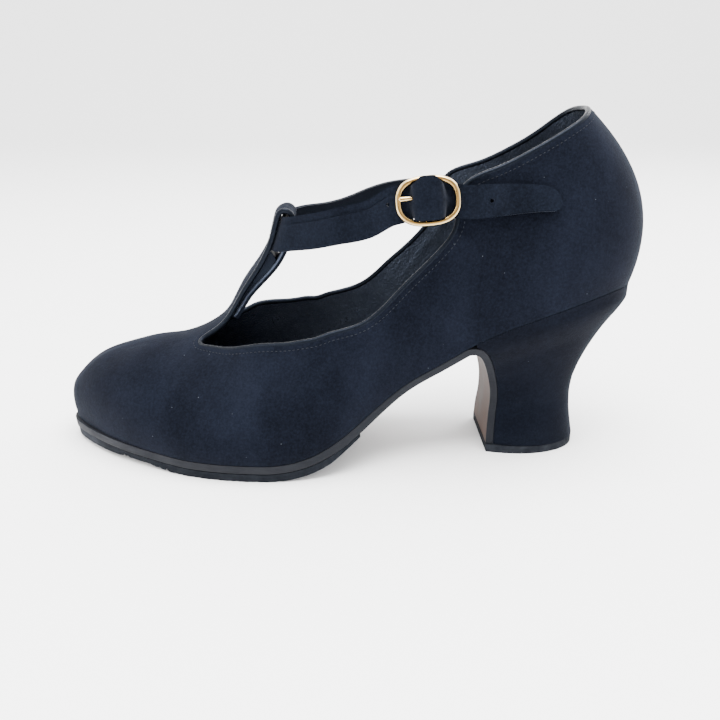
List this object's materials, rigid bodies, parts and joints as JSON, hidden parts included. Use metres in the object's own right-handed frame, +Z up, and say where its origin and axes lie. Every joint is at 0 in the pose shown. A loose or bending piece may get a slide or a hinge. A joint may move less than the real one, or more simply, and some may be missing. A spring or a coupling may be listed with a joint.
{
  "type": "heeled t-strap dance shoe",
  "caption": "Left black suede dance shoe with a closed toe, a T-bar and buckled instep strap, a leather sole with a rubber half sole and a curved covered heel.",
  "frame": {"origin": "on the floor, below the middle of the shoe's box", "axes": "+X from toe to heel, +Y towards the inner side of the foot, +Z up"},
  "size_m": [0.2314, 0.085, 0.1345],
  "materials": {
    "black_suede": "black suede with a short matt nap, leather lined",
    "black_leather": "soft black grained leather with a low sheen",
    "black_sole_leather": "dark sole leather with a dressed edge",
    "black_rubber": "matt black rubber",
    "heel_suede": "moulded heel block covered with black suede",
    "gold_metal": "polished gold-coloured plating"
  },
  "bodies": {
    "root": {"upper": "black_suede", "topline_piping": "black_leather", "insole": "black_leather", "outsole": "black_sole_leather", "half_sole": "black_rubber", "heel": "heel_suede", "top_piece": "black_rubber", "instep_strap": "black_suede", "buckle_frame": "gold_metal", "buckle_prong": "gold_metal", "buckle_tab": "black_leather"}
  },
  "joints": []
}
